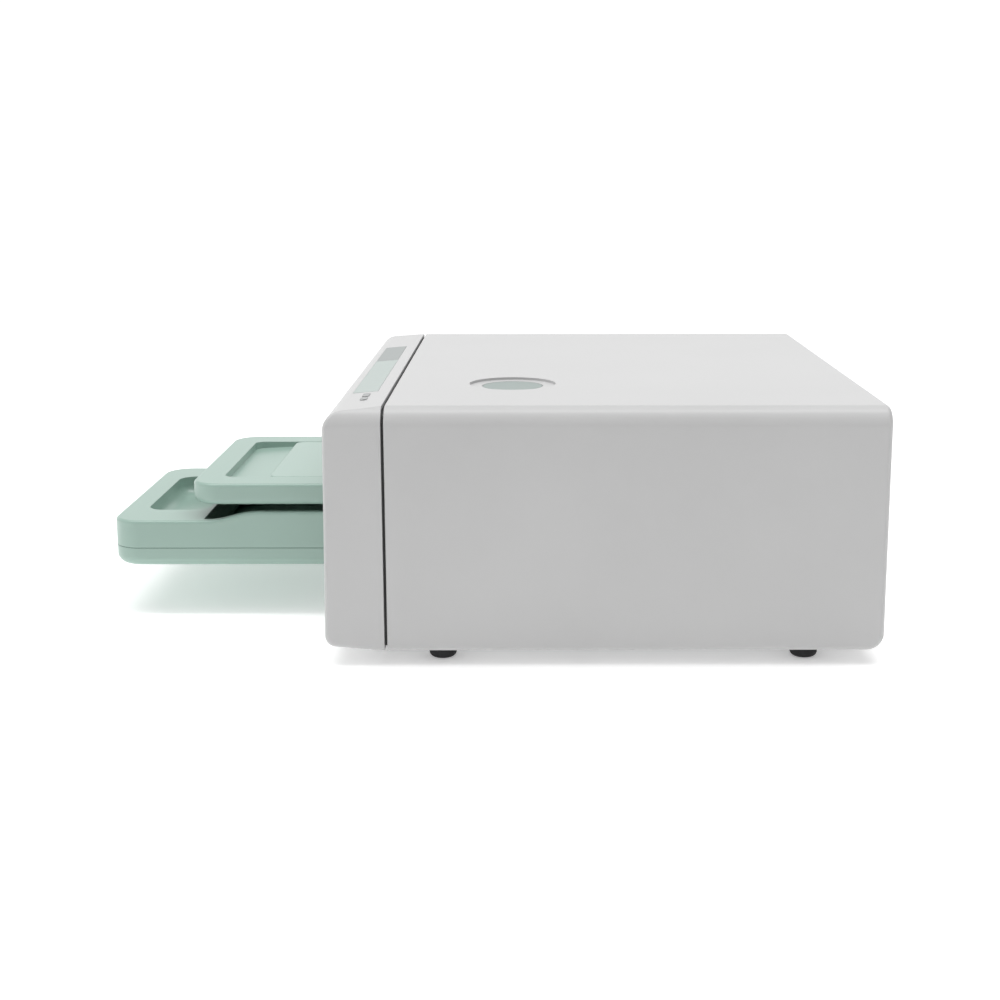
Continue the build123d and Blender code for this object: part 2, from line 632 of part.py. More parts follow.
ink_dampers = group(
    *[block((x, x + 7), (head_span[0] + 6, head_span[1] - 6), (nozzle_z + 27, nozzle_z + 45))
    for x in damper]
)
lamp_x = (cx[0] - 27, cx[0])
lamp_y = (head_y - 28, head_y + 18)
lamp_z = (nozzle_z + 1, nozzle_z + 21)
lamp = block(lamp_x, lamp_y, lamp_z) - block(
    (lamp_x[0] + 3, lamp_x[1] - 3), (lamp_y[0] + 3, lamp_y[1] - 3), (0, lamp_z[1] - 4)
)
lamp_housing = lamp
lens = block(
    (lamp_x[0] + 3, lamp_x[1] - 3), (lamp_y[0] + 3, lamp_y[1] - 3), (lamp_z[0] + 0.5, lamp_z[0] + 2.5)
)
lamp_lens = lens
sink = block(lamp_x, lamp_y, (lamp_z[1], lamp_z[1] + 3))
for k in range(7):
    sink += block((lamp_x[0] + k * 4, lamp_x[0] + k * 4 + 1.5), lamp_y, (lamp_z[1] + 3, lamp_z[1] + 18))
heatsink = sink

# ---- cap, wiper and waste ink -----------------------------------------------------------------------
cap_x = (head_x[0] - 2, head_x[1] + 2)
cap_y = (head_span[0] - 2, head_span[1] + 2)
sled_top = nozzle_z - 8
sled_floor = sled_top - 12
station_top = sled_floor - cap_travel - 1
station = block((cap_x[0] - 3, cap_x[1] + 3), (cap_y[0] - 3, cap_y[1] + 3), (floor_z, station_top))
station -= block(cap_x, cap_y, (floor_z + 3, station_top + 1))
for x in (cap_x[0] + 8, cap_x[1] - 8):
    station += bar_z(3, x, head_y - 4, (floor_z + 3, sled_floor + 2.5))
cap_station = station
sled = block(cap_x, cap_y, (sled_floor, sled_top)) - block(
    (cap_x[0] + 2, cap_x[1] - 2), (cap_y[0] + 2, cap_y[1] - 2), (sled_floor + 9, sled_top + 1)
)
for x in (cap_x[0] + 8, cap_x[1] - 8):
    sled -= bar_z(3 + bore_gap, x, head_y - 4, (sled_floor - 1, sled_floor + 8.8))
cap_sled = sled
seal = block((cap_x[0] + 2, cap_x[1] - 2), (cap_y[0] + 2, cap_y[1] - 2), (sled_floor + 9, nozzle_z - 0.4))
seal -= block((cap_x[0] + 5, cap_x[1] - 5), (cap_y[0] + 5, cap_y[1] - 5), (sled_floor + 11, nozzle_z))
cap_seal = seal
cap_springs = group(
    *[bar_z(5, x, head_y - 4, (floor_z + 3, floor_z + 40)) - bar_z(3, x, head_y - 4, (0, 90))
    for x in (cap_x[0] + 8, cap_x[1] - 8)]
)

wipe_x = (bay_x + 0.6, cap_x[0] - 3.6)
wiper_holder = block(wipe_x, (head_y - 20, head_y + 12), (nozzle_z - 22, nozzle_z - 9))
wiper_blade = block(
    (sum(wipe_x) / 2 - 0.8, sum(wipe_x) / 2 + 0.8), (head_y - 18, head_y + 10), (nozzle_z - 9, nozzle_z - 2)
)
waste_x = (bay_x + 16, side_x - 14)
waste_y = (seam_y + 168, seam_y + 250)
waste_box = rounded_block(waste_x, waste_y, (floor_z, floor_z + 40), 5)
waste_box -= block(
    (waste_x[0] + 2, waste_x[1] - 2), (waste_y[0] + 2, waste_y[1] - 2), (floor_z + 2, floor_z + 41)
)
waste_pad = block(
    (waste_x[0] + 2, waste_x[1] - 2), (waste_y[0] + 2, waste_y[1] - 2), (floor_z + 2, floor_z + 34)
)
pump_x = (cap_x[0] + 4, cap_x[0] + 22)
pump_y = cap_y[1] + 22
ink_pump = bar_x(17, pump_x, pump_y, floor_z + 17)
ink_pump += block(pump_x, (pump_y - 17, pump_y + 17), (floor_z, floor_z + 12))

# ---- ink --------------------------------------------------------------------------------------------
tank_x = (-side_x + 9, -bay_x - 25)
tank_pitch = 25.0
tank_height = 78.0
tanks, inks, caps = [], [], []
for k in range(6):
    y = seam_y + 180 + k * tank_pitch
    body = rounded_block(tank_x, (y, y + tank_pitch - 1), (floor_z, floor_z + tank_height), 3)
    body += bar_z(8, tank_x[0] + 20, y + 12, (floor_z + tank_height, floor_z + tank_height + 6))
    body -= block(
        (tank_x[0] + 2, tank_x[1] - 2),
        (y + 2, y + tank_pitch - 3),
        (floor_z + 2, floor_z + tank_height - 2)
    )
    body -= bar_z(5, tank_x[0] + 20, y + 12, (floor_z + tank_height - 5, floor_z + tank_height + 7))
    tanks.append(body)
    fill = floor_z + tank_height - 10 - 5 * (k % 3)
    inks.append(block((tank_x[0] + 2, tank_x[1] - 2), (y + 2, y + tank_pitch - 3), (floor_z + 2, fill)))
    cap_top = floor_z + tank_height + 14
    caps.append(bar_z(10, tank_x[0] + 20, y + 12, (floor_z + tank_height + 6, cap_top)))
ink_tanks = group(*tanks)
inks = group(*inks)
ink_caps = group(*caps)

# ---- electrics --------------------------------------------------------------------------------------
shelf_y = (beam_y[1] + 48, rear_wall_y - 1)
electronics_shelf = block((-bay_x - sheet, bay_x + sheet), shelf_y, (shelf_z, shelf_z + sheet))
leg = block((bay_x, bay_x + sheet), (shelf_y[0], frame_y[1] - 42), (frame_top_z - 14, shelf_z))
electronics_shelf += both_sides(leg)
board_y = (rear_wall_y - 118, rear_wall_y - 1)
board = block((-50, 112), board_y, (board_z, board_z + 1.6))
for x in (-44, 106):
    for y in (board_y[0] + 6, board_y[1] - 6):
        board += bar_z(3, x, y, (shelf_z + sheet, board_z))
for x, y, size, height in (
    (-30, 20, 22, 12), (10, 30, 16, 3), (50, 24, 30, 8), (-28, 60, 14, 16), (14, 70, 14, 3)
):
    board += block(
        (x, x + size), (board_y[0] + y, board_y[0] + y + size), (board_z + 1.6, board_z + 1.6 + height)
    )
main_board = board
made = []
for left, (width, height) in zip(sockets_x, sockets_size):
    shell = block(
        (left, left + width), (rear_wall_y - 15, back_y - 0.5), (board_z + 1.6, board_z + 1.6 + height)
    )
    shell -= block(
        (left + 1.5, left + width - 1.5), (rear_wall_y - 9, back_y), (board_z + 3.1, board_z + height)
    )
    made.append(shell)
data_sockets = group(*made)
supply_height = belt_z - motor_side / 2 - floor_z - 2
supply_y = (seam_y + 262, rear_wall_y - 22)
supply = block((bay_x + 14, side_x - 12), supply_y, (floor_z, floor_z + supply_height))
for k in range(8):
    supply -= block(
        (bay_x + 24 + k * 8, bay_x + 28 + k * 8),
        (supply_y[0] + 12, supply_y[1] - 12),
        (floor_z + supply_height - 4, floor_z + supply_height + 1)
    )
power_supply = supply

socket = block(
    (inlet[0] - 14, inlet[0] + 14), (rear_wall_y - 17, back_y - 0.2), (inlet[1] - 10, inlet[1] + 10)
)
socket -= block((inlet[0] - 11, inlet[0] + 11), (rear_wall_y - 11, back_y), (inlet[1] - 7, inlet[1] + 7))
for dx, dz in ((-7, -2), (0, 2.5), (7, -2)):
    socket += block(
        (inlet[0] + dx - 1, inlet[0] + dx + 1),
        (rear_wall_y - 12, back_y - 3),
        (inlet[1] + dz - 2, inlet[1] + dz + 2)
    )
power_inlet = socket
rocker_r = 9.2
sx, sz = switch
case = block((sx - 10.5, sx + 10.5), (rear_wall_y - 15, back_y - 0.2), (sz - 7.5, sz + 7.5))
case -= block((sx - 9.5, sx + 9.5), (rear_wall_y - 13, back_y), (sz - 6.5, sz + 6.5))
rocker_y = back_y - 6
rocker = bar_x(6, (sx - 9.2, sx + 9.2), rocker_y, sz) & block(
    (sx - 10, sx + 10), (rocker_y - 3, back_y - 0.3), (sz - 6, sz + 6)
)
rocker_pin = bar_x(1.2, (sx - 10.3, sx + 10.3), rocker_y, sz)
switch_rocker = rocker + rocker_pin
switch_case = case - bar_x(1.2 + bore_gap, (sx - 10.5, sx + 10.5), rocker_y, sz)
fan_x, fan_z = fan_at
fan_y = (rear_wall_y - 15, rear_wall_y)
frame = block((fan_x - 30, fan_x + 30), fan_y, (fan_z - 30, fan_z + 30)) - bar_y(
    28, fan_x, (fan_y[0] - 1, fan_y[1] + 1), fan_z
)
for arm in (0, 120, 240):
    frame += Pos(fan_x, 0, fan_z) * Rot(0, arm, 0) * block((6, 29), (fan_y[0], fan_y[0] + 2), (-1.5, 1.5))
frame += bar_y(9, fan_x, (fan_y[0], fan_y[0] + 2), fan_z) + bar_y(
    1.5, fan_x, (fan_y[0], fan_y[1] - 4), fan_z
)
fan_frame = frame
rotor = bar_y(11, fan_x, (fan_y[0] + 2.5, fan_y[1] - 2), fan_z)
for k in range(7):
    blade = Pos(18.5, 0, 0) * Rot(32, 0, 0) * Box(17, 9, 1.2)
    rotor += Pos(fan_x, (fan_y[0] + fan_y[1]) / 2, fan_z) * Rot(0, k * 360 / 7, 0) * blade
fan_rotor = rotor - bar_y(1.5 + bore_gap, fan_x, (fan_y[0], fan_y[1] - 3.5), fan_z)

# ---- one STEP file for each piece -------------------------------------------------------------------
pieces = {
    "housing": housing,
    "front_panel": front_panel,
    "seam_ring": seam_ring,
    "base_pan": base_pan,
    "feet": feet,
    "ink_door": ink_door,
    "display_window": display_window,
    "touch_strip": touch_strip,
    "panel_marks": panel_marks,
    "control_board": group(display_module, control_board),
    "power_button": power_button,
    "button_bracket": group(button_bracket, button_spring, button_switch),
    "bed_frame": group(side_frames, rear_plate),
    "chassis_screws": group(pan_screws, frame_screws),
    "drawer_runners": drawer_runners,
    "drawer_tub": drawer_tub,
    "drawer_top": drawer_top,
    "platen_tray": platen_tray,
    "platen_plate": platen_plate,
    "plate_screws": plate_screws,
    "platen_shoes": group(platen_shoes, belt_clamp),
    "platen_rails": platen_rails,
    "y_belt": y_belt,
    "y_drive_pulley": y_drive_pulley,
    "y_idler_pulley": y_idler_pulley,
    "y_motor": y_motor,
    "lift_posts": lift_posts,
    "guide_rods": guide_rods,
    "z_motors": z_motors,
    "z_screw_left": z_screw_left,
    "z_screw_right": z_screw_right,
    "gantry_ends": gantry_ends,
    "gantry_beam": gantry_beam,
    "x_rail": x_rail,
    "x_belt": x_belt,
    "x_drive_pulley": x_drive_pulley,
    "x_idler_pulley": x_idler_pulley,
    "x_motor": x_motor,
    "carriage_frame": carriage_frame,
    "carriage_cover": carriage_cover,
    "rail_slider": group(rail_slider, carriage_clamp),
    "print_head": print_head,
    "ink_dampers": ink_dampers,
    "uv_lamp": group(lamp_housing, heatsink),
    "lamp_lens": lamp_lens,
    "cleaning_station": group(cap_station, cap_springs, ink_pump),
    "cap_sled": cap_sled,
    "cap_seal": cap_seal,
    "wiper": group(wiper_holder, wiper_blade),
    "waste_box": group(waste_box, waste_pad),
    "ink_tanks": ink_tanks,
    "ink_caps": ink_caps,
    "electronics_shelf": electronics_shelf,
    "main_board": group(main_board, data_sockets),
    "power_supply": power_supply,
    "power_inlet": group(power_inlet, switch_case),
    "switch_rocker": switch_rocker,
    "fan_frame": fan_frame,
    "fan_rotor": fan_rotor,
}
os.makedirs("parts", exist_ok=True)
for name, piece in pieces.items():
    export_step(group(piece), f"parts/{name}.step")
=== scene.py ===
import bpy
import bmesh
import math
from mathutils import Matrix, Vector


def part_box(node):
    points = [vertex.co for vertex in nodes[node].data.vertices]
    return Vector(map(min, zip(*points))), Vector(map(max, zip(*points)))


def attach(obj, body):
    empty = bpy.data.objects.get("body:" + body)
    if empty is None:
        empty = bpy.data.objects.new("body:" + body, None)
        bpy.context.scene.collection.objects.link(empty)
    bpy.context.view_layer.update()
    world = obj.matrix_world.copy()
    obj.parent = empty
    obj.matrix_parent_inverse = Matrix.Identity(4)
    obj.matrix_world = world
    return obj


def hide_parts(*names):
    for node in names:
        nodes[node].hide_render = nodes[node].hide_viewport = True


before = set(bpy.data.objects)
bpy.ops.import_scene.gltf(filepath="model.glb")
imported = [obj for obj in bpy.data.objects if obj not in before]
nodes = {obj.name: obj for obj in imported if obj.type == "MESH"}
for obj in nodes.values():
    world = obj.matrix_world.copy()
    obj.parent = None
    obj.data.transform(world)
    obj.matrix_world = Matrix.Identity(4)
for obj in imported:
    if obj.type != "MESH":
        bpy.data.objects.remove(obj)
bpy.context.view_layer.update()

# ---- table, light and camera ------------------------------------------------------------------------
# The printer stands on a plain pale table in a white studio. A broad soft box and a long narrow one
# hang overhead, a lit white backdrop stands beyond the machine and a soft fill comes from its front.
# The camera looks across it, along its width.
left, right, near, far = -1.9, 3.0, -3.0, 3.0
table_mesh = bpy.data.meshes.new("table")
corners = [(left, near, 0), (right, near, 0), (right, far, 0), (left, far, 0)]
table_mesh.from_pydata(corners, [], [(0, 1, 2, 3)])
table_top = bpy.data.objects.new("table", table_mesh)
bpy.context.scene.collection.objects.link(table_top)
table_white = bpy.data.materials.new("table_white")
table_white.use_nodes = True
links, surface = table_white.node_tree.links, table_white.node_tree.nodes["Principled BSDF"]
surface.inputs["Roughness"].default_value = 0.9
surface.inputs["Specular IOR Level"].default_value = 0.1
surface.inputs["Emission Color"].default_value = (1, 1, 1, 1)
surface.inputs["Emission Strength"].default_value = 0.30
cloud = table_white.node_tree.nodes.new("ShaderNodeTexNoise")
cloud.inputs["Scale"].default_value = 0.6
tint = table_white.node_tree.nodes.new("ShaderNodeValToRGB")
tint.color_ramp.elements[0].color = (0.94, 0.94, 0.94, 1)
tint.color_ramp.elements[1].color = (0.97, 0.97, 0.97, 1)
links.new(cloud.outputs["Fac"], tint.inputs["Fac"])
links.new(tint.outputs["Color"], surface.inputs["Base Color"])
table_mesh.materials.append(table_white)


def carried(tree, value, start, end, low=0.0, high=1.0, smooth=False):
    """A value taken from the range start to end into the range low to high."""
    step = tree.nodes.new("ShaderNodeMapRange")
    step.interpolation_type = "SMOOTHSTEP" if smooth else "LINEAR"
    step.inputs["From Min"].default_value = start
    step.inputs["From Max"].default_value = end
    step.inputs["To Min"].default_value = low
    step.inputs["To Max"].default_value = high
    tree.links.new(value, step.inputs["Value"])
    return step.outputs["Result"]


def reckoned(tree, operation, *terms):
    """A number worked out from others; each term is another node's output or a plain number."""
    step = tree.nodes.new("ShaderNodeMath")
    step.operation = operation
    for place, term in zip(step.inputs, terms):
        if isinstance(term, bpy.types.NodeSocket):
            tree.links.new(term, place)
        else:
            place.default_value = term
    return step.outputs["Value"]


room_light, backdrop_light, front_fill = 0.42, 1.06, 0.45
studio = bpy.data.worlds.new("studio")
bpy.context.scene.world = studio
studio.use_nodes = True
tree = studio.node_tree
sky = tree.nodes["Background"]
sky.inputs["Color"].default_value = (1, 1, 1, 1)
aim = tree.nodes.new("ShaderNodeTexCoord")
heading = tree.nodes.new("ShaderNodeSeparateXYZ")
tree.links.new(aim.outputs["Generated"], heading.inputs["Vector"])
beyond = carried(tree, heading.outputs["X"], -0.55, -0.85, smooth=True)
low_down = carried(tree, heading.outputs["Z"], 0.42, 0.30, smooth=True)
backdrop = reckoned(tree, "MULTIPLY", beyond, low_down)
room = carried(tree, backdrop, 0, 1, room_light, backdrop_light)
fill = carried(tree, heading.outputs["Y"], -0.3, -0.9, 0, front_fill, smooth=True)
tree.links.new(reckoned(tree, "ADD", room, fill), sky.inputs["Strength"])


def soft_box(name, place, target, size, power):
    """A rectangular studio light at place, turned towards target; size is its two sides."""
    lamp = bpy.data.lights.new(name, "AREA")
    lamp.shape = "RECTANGLE"
    lamp.size, lamp.size_y = size
    lamp.energy = power
    holder = bpy.data.objects.new(name, lamp)
    holder.location = place
    holder.rotation_euler = (Vector(target) - Vector(place)).to_track_quat("-Z", "Y").to_euler()
    bpy.context.scene.collection.objects.link(holder)


soft_box("overhead", place=(-0.2, 0.0, 2.6), target=(-0.2, 0.001, 0), size=(3.2, 3.2), power=26)
soft_box("edge_strip", place=(0.1, 0.0, 2.2), target=(0.1, 0.001, 0), size=(0.4, 3.6), power=32)

lens = bpy.data.cameras.new("camera")
lens.lens = 55.77
lens.sensor_width = 36
lens.shift_x = -0.0399
lens.shift_y = -0.0379
lens.clip_end = 100
camera = bpy.data.objects.new("camera", lens)
camera_x, camera_z, behind_seam = 1.290, 0.3586, 0.1032
camera.location = (camera_x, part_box("housing")[0].y + behind_seam, camera_z)
yaw, pitch = math.radians(-0.305), math.radians(11.2546)
ahead = Vector((-math.cos(yaw) * math.cos(pitch), -math.sin(yaw) * math.cos(pitch), -math.sin(pitch)))
camera.rotation_euler = ahead.to_track_quat("-Z", "Y").to_euler()
bpy.context.scene.collection.objects.link(camera)
bpy.context.scene.camera = camera
bpy.context.scene.view_settings.view_transform = "Standard"

# ---- housing ----------------------------------------------------------------------------------------
# The main shell is one injection moulding in pale grey ABS with a fine spark-eroded texture.
# It drops over the chassis and is held from below by screws in its bottom lip.
GREY = (0.53, 0.53, 0.53)


def blended(tree, how, share, under, over):
    """A colour made from two, by share; over may be another node's output or a plain colour."""
    mixed = tree.nodes.new("ShaderNodeMix")
    mixed.data_type = "RGBA"
    mixed.blend_type = how
    if isinstance(share, bpy.types.NodeSocket):
        tree.links.new(share, mixed.inputs["Factor"])
    else:
        mixed.inputs["Factor"].default_value = share
    tree.links.new(under, mixed.inputs["A"])
    if isinstance(over, bpy.types.NodeSocket):
        tree.links.new(over, mixed.inputs["B"])
    else:
        mixed.inputs["B"].default_value = (*over, 1)
    return mixed.outputs["Result"]


def across(tree, axis):
    """Where a point of the piece lies along an axis, X, Y or Z."""
    place = next(n for n in tree.nodes if n.bl_idname == "ShaderNodeTexCoord")
    split = tree.nodes.new("ShaderNodeSeparateXYZ")
    tree.links.new(place.outputs["Object"], split.inputs["Vector"])
    return split.outputs[axis]


def stepped(tree, share, starts, colours):
    """A colour that changes at once where share passes each of the starts."""
    ramp = tree.nodes.new("ShaderNodeValToRGB")
    ramp.color_ramp.interpolation = "CONSTANT"
    while len(ramp.color_ramp.elements) < len(starts):
        ramp.color_ramp.elements.new(0.5)
    for mark, start in zip(ramp.color_ramp.elements, starts):
        mark.position = start
    for mark, colour in zip(ramp.color_ramp.elements, colours):
        mark.color = (*colour, 1)
    tree.links.new(share, ramp.inputs["Fac"])
    return ramp.outputs["Color"]


def finish(name, colour, rough, grain=900.0, depth=0.00004, blotch=0.02, metal=0.0, coat=0.0,
           stretch=(1, 1, 1), bands=None, shine=0.5, edge=0.0004):
    """A finish with a fine grain in its surface and slow, faint changes of colour and gloss.

    stretch squeezes the grain along an axis, for drawn or brushed metal. bands is an axis, its low and
    high ends and a list of (share of the way, colour, metal) for a piece made of several materials.
    shine is how strongly the bare surface mirrors its surroundings, and edge is how far sharp edges
    look rounded.
    """
    made = bpy.data.materials.new(name)
    made.use_nodes = True
    tree = made.node_tree
    shader = tree.nodes["Principled BSDF"]
    shader.inputs["Metallic"].default_value = metal
    shader.inputs["Coat Weight"].default_value = coat
    shader.inputs["Specular IOR Level"].default_value = shine
    place = tree.nodes.new("ShaderNodeTexCoord")
    slow = tree.nodes.new("ShaderNodeTexNoise")
    slow.inputs["Scale"].default_value = 9.0
    slow.inputs["Detail"].default_value = 4.0
    tree.links.new(place.outputs["Object"], slow.inputs["Vector"])
    shades = tree.nodes.new("ShaderNodeValToRGB")
    light = (1, 1, 1) if bands else colour
    for mark, position, change in zip(shades.color_ramp.elements, (0.3, 0.7), (-blotch, blotch)):
        mark.position = position
        mark.color = (*[c * (1 + change) for c in light], 1)
    tree.links.new(slow.outputs["Fac"], shades.inputs["Fac"])
    if bands:
        axis, low, high, stops = bands
        share = carried(tree, across(tree, axis), low, high)
        starts = [start for start, _, _ in stops]
        band = stepped(tree, share, starts, [tone for _, tone, _ in stops])
        bare = stepped(tree, share, starts, [(metallic,) * 3 for _, _, metallic in stops])
        tree.links.new(bare, shader.inputs["Metallic"])
        ground = blended(tree, "MULTIPLY", 1.0, band, shades.outputs["Color"])
    else:
        ground = shades.outputs["Color"]
    tree.links.new(ground, shader.inputs["Base Color"])
    gloss = carried(tree, slow.outputs["Fac"], 0, 1, rough * 0.92, min(1, rough * 1.08))
    tree.links.new(gloss, shader.inputs["Roughness"])
    squeeze = tree.nodes.new("ShaderNodeMapping")
    squeeze.inputs["Scale"].default_value = stretch
    tree.links.new(place.outputs["Object"], squeeze.inputs["Vector"])
    fine = tree.nodes.new("ShaderNodeTexNoise")
    fine.inputs["Scale"].default_value = grain
    fine.inputs["Detail"].default_value = 3.0
    tree.links.new(squeeze.outputs["Vector"], fine.inputs["Vector"])
    worn = tree.nodes.new("ShaderNodeBevel")
    worn.samples = 3
    worn.inputs["Radius"].default_value = edge
    bump = tree.nodes.new("ShaderNodeBump")
    bump.inputs["Strength"].default_value = 0.5
    bump.inputs["Distance"].default_value = depth
    tree.links.new(fine.outputs["Fac"], bump.inputs["Height"])
    tree.links.new(worn.outputs["Normal"], bump.inputs["Normal"])
    tree.links.new(bump.outputs["Normal"], shader.inputs["Normal"])
    return made


def paint(node, material):
    """Gives a CAD piece its finish, and keeps its flat faces shaded flat up to their edges."""
    piece = nodes[node]
    for place in piece.material_slots:
        place.material = material
    piece.modifiers.new("joined_faces", "WELD").merge_threshold = 0.000002
    piece.modifiers.new("crisp_edges", "EDGE_SPLIT").split_angle = math.radians(35)
    piece.modifiers.new("even_shading", "WEIGHTED_NORMAL")


casing_grey = finish("casing_grey", GREY, 0.33, shine=0.26)
paint("housing", casing_grey)

# ---- front panel ------------------------------------------------------------------------------------
# A second moulding in the same grey closes the front. Its face leans in a little at the top and
# bottom, and the trays come out through the slot in it.
paint("front_panel", casing_grey)

# ---- seam ring --------------------------------------------------------------------------------------
# A ring moulded in black nylon joins the two shells from inside. It shows as the dark line between
# them.
nylon_black = finish("nylon_black", (0.035, 0.035, 0.035), 0.6)
paint("seam_ring", nylon_black)

# ---- ink door ---------------------------------------------------------------------------------------
# The flap over the ink tanks is a flat moulding in the casing's grey, with a finger notch along its
# top. It turns on two pins moulded at its foot.
paint("ink_door", casing_grey)

# ---- feet -------------------------------------------------------------------------------------------
# Four round feet in black rubber stand under the casing's bottom lip, one near each corner. Their
# lower edges are rounded.
rubber_black = finish("rubber_black", (0.012, 0.012, 0.013), 0.7, 500, 0.0001)
paint("feet", rubber_black)

# ---- control strip ----------------------------------------------------------------------------------
# A smoked window covers the display and a pale mint touch strip lies beside it, both clipped flush
# into one shallow recess along the top of the front panel. The two marks are printed on the panel.
smoked = finish("smoked_window", (0.300, 0.325, 0.320), 0.34, 300, 0.00001, shine=0.16)
paint("display_window", smoked)


def ruled(name, colour, rough, axis, first, spacing, count, width, dark):
    """A plain finish with count thin lines across an axis, the first at first, each spacing on.

    dark is the lines' brightness as a share of the ground's.
    """
    made = finish(name, colour, rough, 300, 0.00002, shine=0.16)
    tree = made.node_tree
    base = tree.nodes["Principled BSDF"].inputs["Base Color"]
    ground = base.links[0].from_socket
    where = across(tree, axis)
    lines = None
    for k in range(count):
        line = reckoned(tree, "COMPARE", where, first + k * spacing, width / 2)
        lines = reckoned(tree, "MAXIMUM", lines, line) if lines else line
    tree.links.new(blended(tree, "MIX", lines, ground, [c * dark for c in colour]), base)
    return made


strip_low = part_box("touch_strip")[0]
key_pitch = 0.030
paint("touch_strip", ruled("touch_mint", (0.445, 0.50, 0.48), 0.42, "X", first=strip_low.x + key_pitch,
                           spacing=key_pitch, count=5, width=0.0006, dark=0.90))
mark_grey = finish("mark_grey", (0.40, 0.41, 0.41), 0.5, shine=0.16)
paint("panel_marks", mark_grey)

# ---- control board ----------------------------------------------------------------------------------
# The board hangs from posts under the strip and carries the display and the touch pads. Its resist is
# green with gold traces.


def circuit(name, low_z, thick):
    """Circuit board finish: green resist with traces up to the board's top, dark parts above it."""
    skin = 0.0001
    made = finish(name, (0.02, 0.02, 0.022), 0.35, 600, 0.00002)
    tree = made.node_tree
    base = tree.nodes["Principled BSDF"].inputs["Base Color"]
    chips = base.links[0].from_socket
    place = next(n for n in tree.nodes if n.bl_idname == "ShaderNodeTexCoord")
    traces = tree.nodes.new("ShaderNodeTexBrick")
    traces.inputs["Color1"].default_value = (0.010, 0.075, 0.030, 1)
    traces.inputs["Color2"].default_value = (0.014, 0.095, 0.038, 1)
    traces.inputs["Mortar"].default_value = (0.16, 0.20, 0.06, 1)
    traces.inputs["Scale"].default_value = 220.0
    traces.inputs["Mortar Size"].default_value = 0.03
    traces.inputs["Brick Width"].default_value = 1.7
    traces.inputs["Row Height"].default_value = 0.35
    tree.links.new(place.outputs["Object"], traces.inputs["Vector"])
    above = reckoned(tree, "GREATER_THAN", across(tree, "Z"), low_z + thick + skin)
    tree.links.new(blended(tree, "MIX", above, traces.outputs["Color"], chips), base)
    return made


board_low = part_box("control_board")[0]
paint("control_board", circuit("control_board_green", board_low.z, 0.003))

# ---- power button -----------------------------------------------------------------------------------
# The button is a satin mint-grey disc in a round dish of the roof. It slides in a sleeve and rests on
# a flat ring spring in the bracket below, which also holds its switch.
button_mint = finish("button_mint", (0.30, 0.35, 0.335), 0.42, 300, 0.00001, shine=0.2)
paint("power_button", button_mint)
acetal_grey = finish("acetal_grey", (0.20, 0.20, 0.21), 0.45)
paint("button_bracket", acetal_grey)

# ---- drawer -----------------------------------------------------------------------------------------
# The lower tray is a drawer moulded in pale mint ABS: a plain tub and a deep rim welded on it, with a
# grip pocket in front of the bin. The join shows as a thin ridge all round, painted in a darker mint
# as painted shade in the join.
MINT = (0.305, 0.432, 0.376)
drawer_mint = finish("drawer_mint", MINT, 0.30, shine=0.6, edge=0.0008)
paint("drawer_tub", drawer_mint)
paint("drawer_top", drawer_mint)


def add_piece(name, mesh_builder, body, material, edge=0.0):
    """Makes a piece that moves with a body; edge is the width of its softened edges."""
    mesh = bpy.data.meshes.new(name)
    build = bmesh.new()
    mesh_builder(build)
    bmesh.ops.recalc_face_normals(build, faces=build.faces)
    build.to_mesh(mesh)
    build.free()
    piece = bpy.data.objects.new(name, mesh)
    bpy.context.scene.collection.objects.link(piece)
    mesh.materials.append(material)
    if edge:
        soft = piece.modifiers.new("soft_edges", "BEVEL")
        soft.width = edge
        soft.segments = 2
        soft.limit_method = "ANGLE"
        soft.angle_limit = math.radians(40)
    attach(piece, body)
    return piece


def outline(low, high, front, rear, out):
    """Points round a tray seen from above, with its front and rear corner radii, moved out a little."""
    points = []
    corners = ((low.x + front, low.y + front, front, 180), (high.x - front, low.y + front, front, 270),
               (high.x - rear, high.y - rear, rear, 0), (low.x + rear, high.y - rear, rear, 90))
    steps = 12
    for x, y, radius, start in corners:
        for k in range(steps + 1):
            angle = math.radians(start + 90 / steps * k)
            points.append((x + (radius + out) * math.cos(angle), y + (radius + out) * math.sin(angle)))
    return points


tub_low, tub_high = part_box("drawer_tub")


def weld_bead(build):
    """The fine ridge that the hot plate leaves where tub and rim meet, in a darker mint as painted shade.
    """
    front_radius, rear_radius, proud, half = 0.022, 0.006, 0.0001, 0.0003
    rings = []
    for out, rise in ((-proud, -half), (proud, -half / 2), (proud, half / 2), (-proud, half)):
        rings.append([build.verts.new((*point, tub_high.z + rise))
                      for point in outline(tub_low, tub_high, front_radius, rear_radius, out)])
    for ring, above in zip(rings, rings[1:]):
        for k in range(len(ring)):
            after = (k + 1) % len(ring)
            build.faces.new((ring[k], ring[after], above[after], above[k]))
    first, last = rings[0], rings[-1]
    for k in range(len(first)):
        after = (k + 1) % len(first)
        build.faces.new((last[k], last[after], first[after], first[k]))


# The ridge's darker mint is painted shade in the join between tub and rim.
add_piece("drawer_weld_shade", weld_bead, "drawer",
          finish("weld_shade_mint", (0.13, 0.20, 0.17), 0.5, 500, 0.00002, shine=0.3))

# ---- platen tray ------------------------------------------------------------------------------------
# The upper tray is moulded in the same mint ABS. Its plate is an aluminium slab powder-coated to
# match, let into the tray and held by four countersunk steel screws.
tray_mint = finish("tray_mint", MINT, 0.30, shine=0.6, edge=0.0008)
paint("platen_tray", tray_mint)
plate_mint = finish("plate_mint", (0.33, 0.455, 0.40), 0.30, 700, 0.00006, shine=0.75, edge=0.0008)
paint("platen_plate", plate_mint)
steel = finish("turned_steel", (0.5, 0.5, 0.5), 0.3, metal=1.0)
paint("plate_screws", steel)

